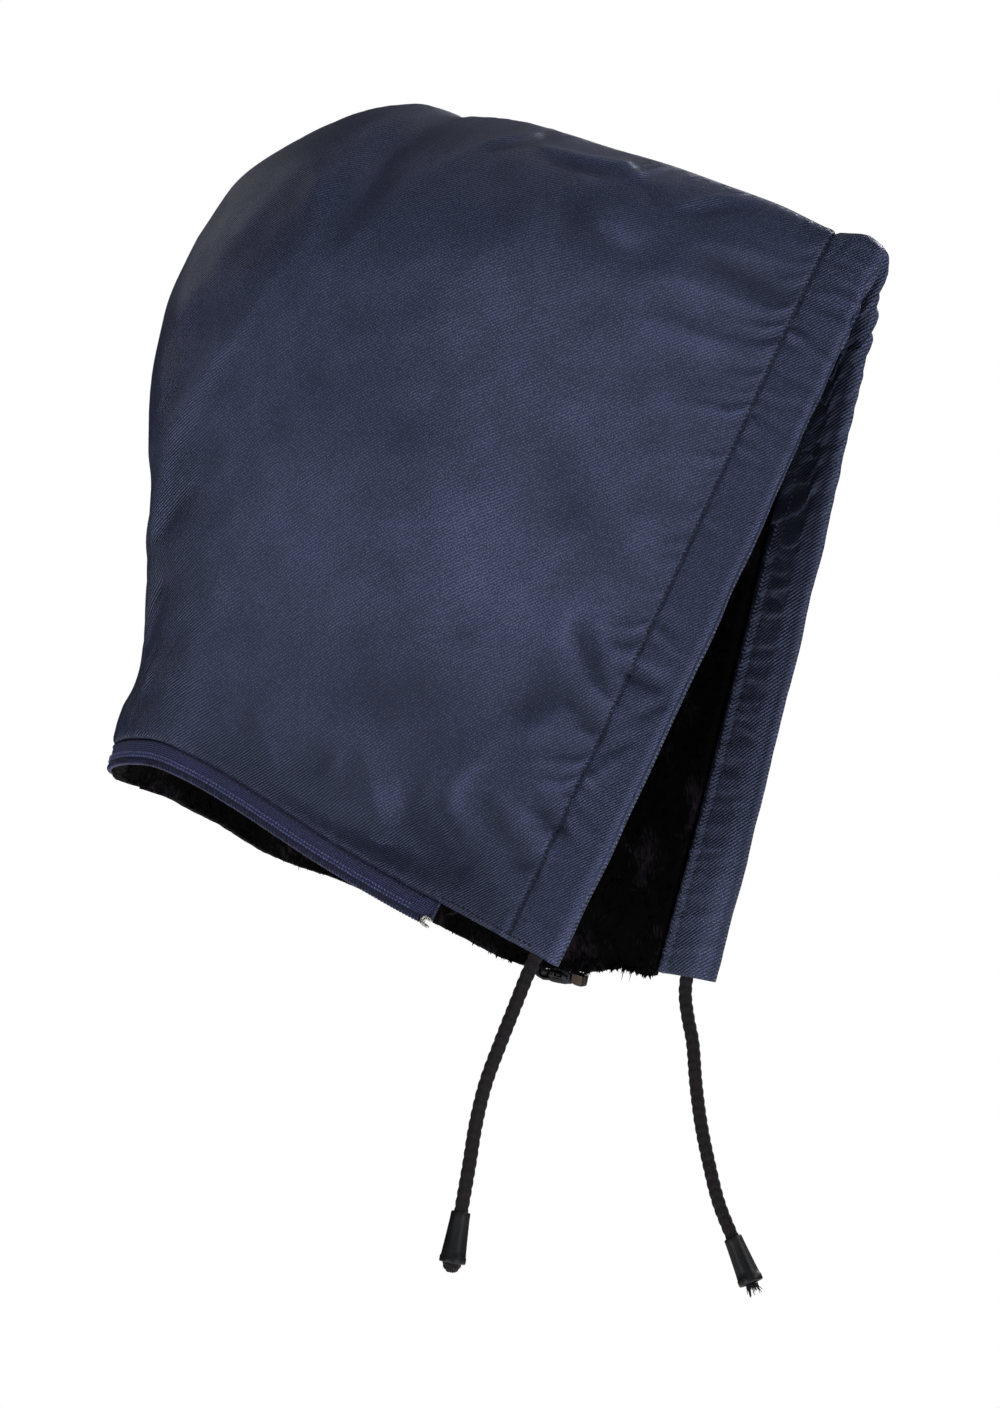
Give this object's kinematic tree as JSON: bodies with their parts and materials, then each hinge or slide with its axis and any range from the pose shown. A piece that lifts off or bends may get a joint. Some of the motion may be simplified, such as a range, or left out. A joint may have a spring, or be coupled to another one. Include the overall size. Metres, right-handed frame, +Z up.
{
  "type": "detachable padded hood",
  "caption": "Detachable padded jacket hood of two cloth panels with a centre seam, pile lining, a drawcord in the front hem and a zip half along the neck edge.",
  "frame": {"origin": "the point under the crown where the lining rests on top of the wearer's head", "axes": "+X out of the face opening, +Y to the wearer's left, +Z up"},
  "size_m": [0.377, 0.1937, 0.538],
  "materials": {
    "navy_twill": "slightly lustrous twill",
    "black_pile": "soft pile",
    "navy_tape": "woven tape",
    "navy_coil": "wound nylon",
    "black_cord": "braided",
    "black_plastic": "moulded",
    "bright_metal": "bright",
    "brown_film": "smooth film"
  },
  "bodies": {
    "root": {"shell_right": "navy_twill", "shell_left": "navy_twill", "pile_lining_right": "black_pile", "pile_lining_left": "black_pile", "zip_tape": "navy_tape", "zip_coil": "navy_coil", "zip_stop": "bright_metal", "zip_box": "black_plastic", "zip_film": "brown_film", "zip_slider": "black_plastic", "drawcord_right": "black_cord", "cord_end_right": "black_plastic", "cord_knot_right": "black_cord", "drawcord_left": "black_cord", "cord_end_left": "black_plastic", "cord_tuft_left": "black_cord"}
  },
  "joints": []
}
